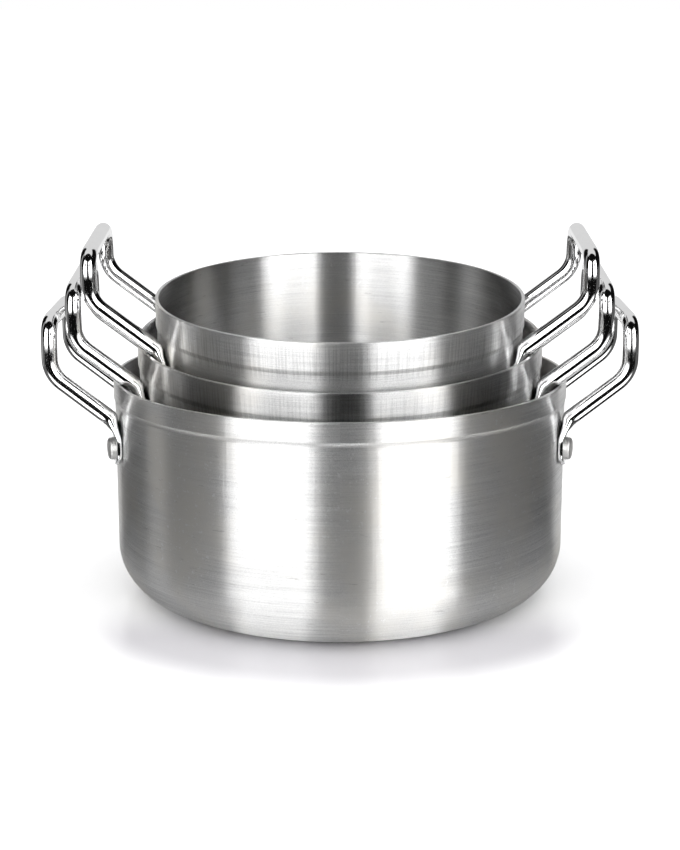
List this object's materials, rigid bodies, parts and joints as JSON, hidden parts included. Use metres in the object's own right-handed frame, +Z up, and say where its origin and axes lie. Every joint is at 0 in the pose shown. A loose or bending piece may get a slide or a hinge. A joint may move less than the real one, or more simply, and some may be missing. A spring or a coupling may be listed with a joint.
{
  "type": "stock pot",
  "caption": "Nest of open, straight-walled cooking pots with a riveted rod loop handle on each side; each inner pot hangs by its handle legs on the rim of the next and lifts out.",
  "frame": {"origin": "centre of the large pot's flat underside", "axes": "+X through the handles, +Y towards the back, +Z up along the large pot's axis"},
  "size_m": [0.3872, 0.304, 0.2452],
  "materials": {
    "pot_shell": "brushed",
    "handle_rod": "polished",
    "rivet": "satin"
  },
  "bodies": {
    "large": {"large_pot": "pot_shell", "large_left_handle": "handle_rod", "large_left_front_rivet": "rivet", "large_left_rear_rivet": "rivet", "large_right_handle": "handle_rod", "large_right_front_rivet": "rivet", "large_right_rear_rivet": "rivet"},
    "middle": {"middle_pot": "pot_shell", "middle_left_handle": "handle_rod", "middle_left_front_rivet": "rivet", "middle_left_rear_rivet": "rivet", "middle_right_handle": "handle_rod", "middle_right_front_rivet": "rivet", "middle_right_rear_rivet": "rivet"},
    "small": {"small_pot": "pot_shell", "small_left_handle": "handle_rod", "small_left_front_rivet": "rivet", "small_left_rear_rivet": "rivet", "small_right_handle": "handle_rod", "small_right_front_rivet": "rivet", "small_right_rear_rivet": "rivet"}
  },
  "joints": [
    {"name": "middle_lift", "type": "slide", "parent": "large", "child": "middle", "axis": [0, -0.0872, 0.9962], "range_m": [0, 0.15]},
    {"name": "small_lift", "type": "slide", "parent": "middle", "child": "small", "axis": [0, -0.0872, 0.9962], "range_m": [0, 0.12]}
  ]
}
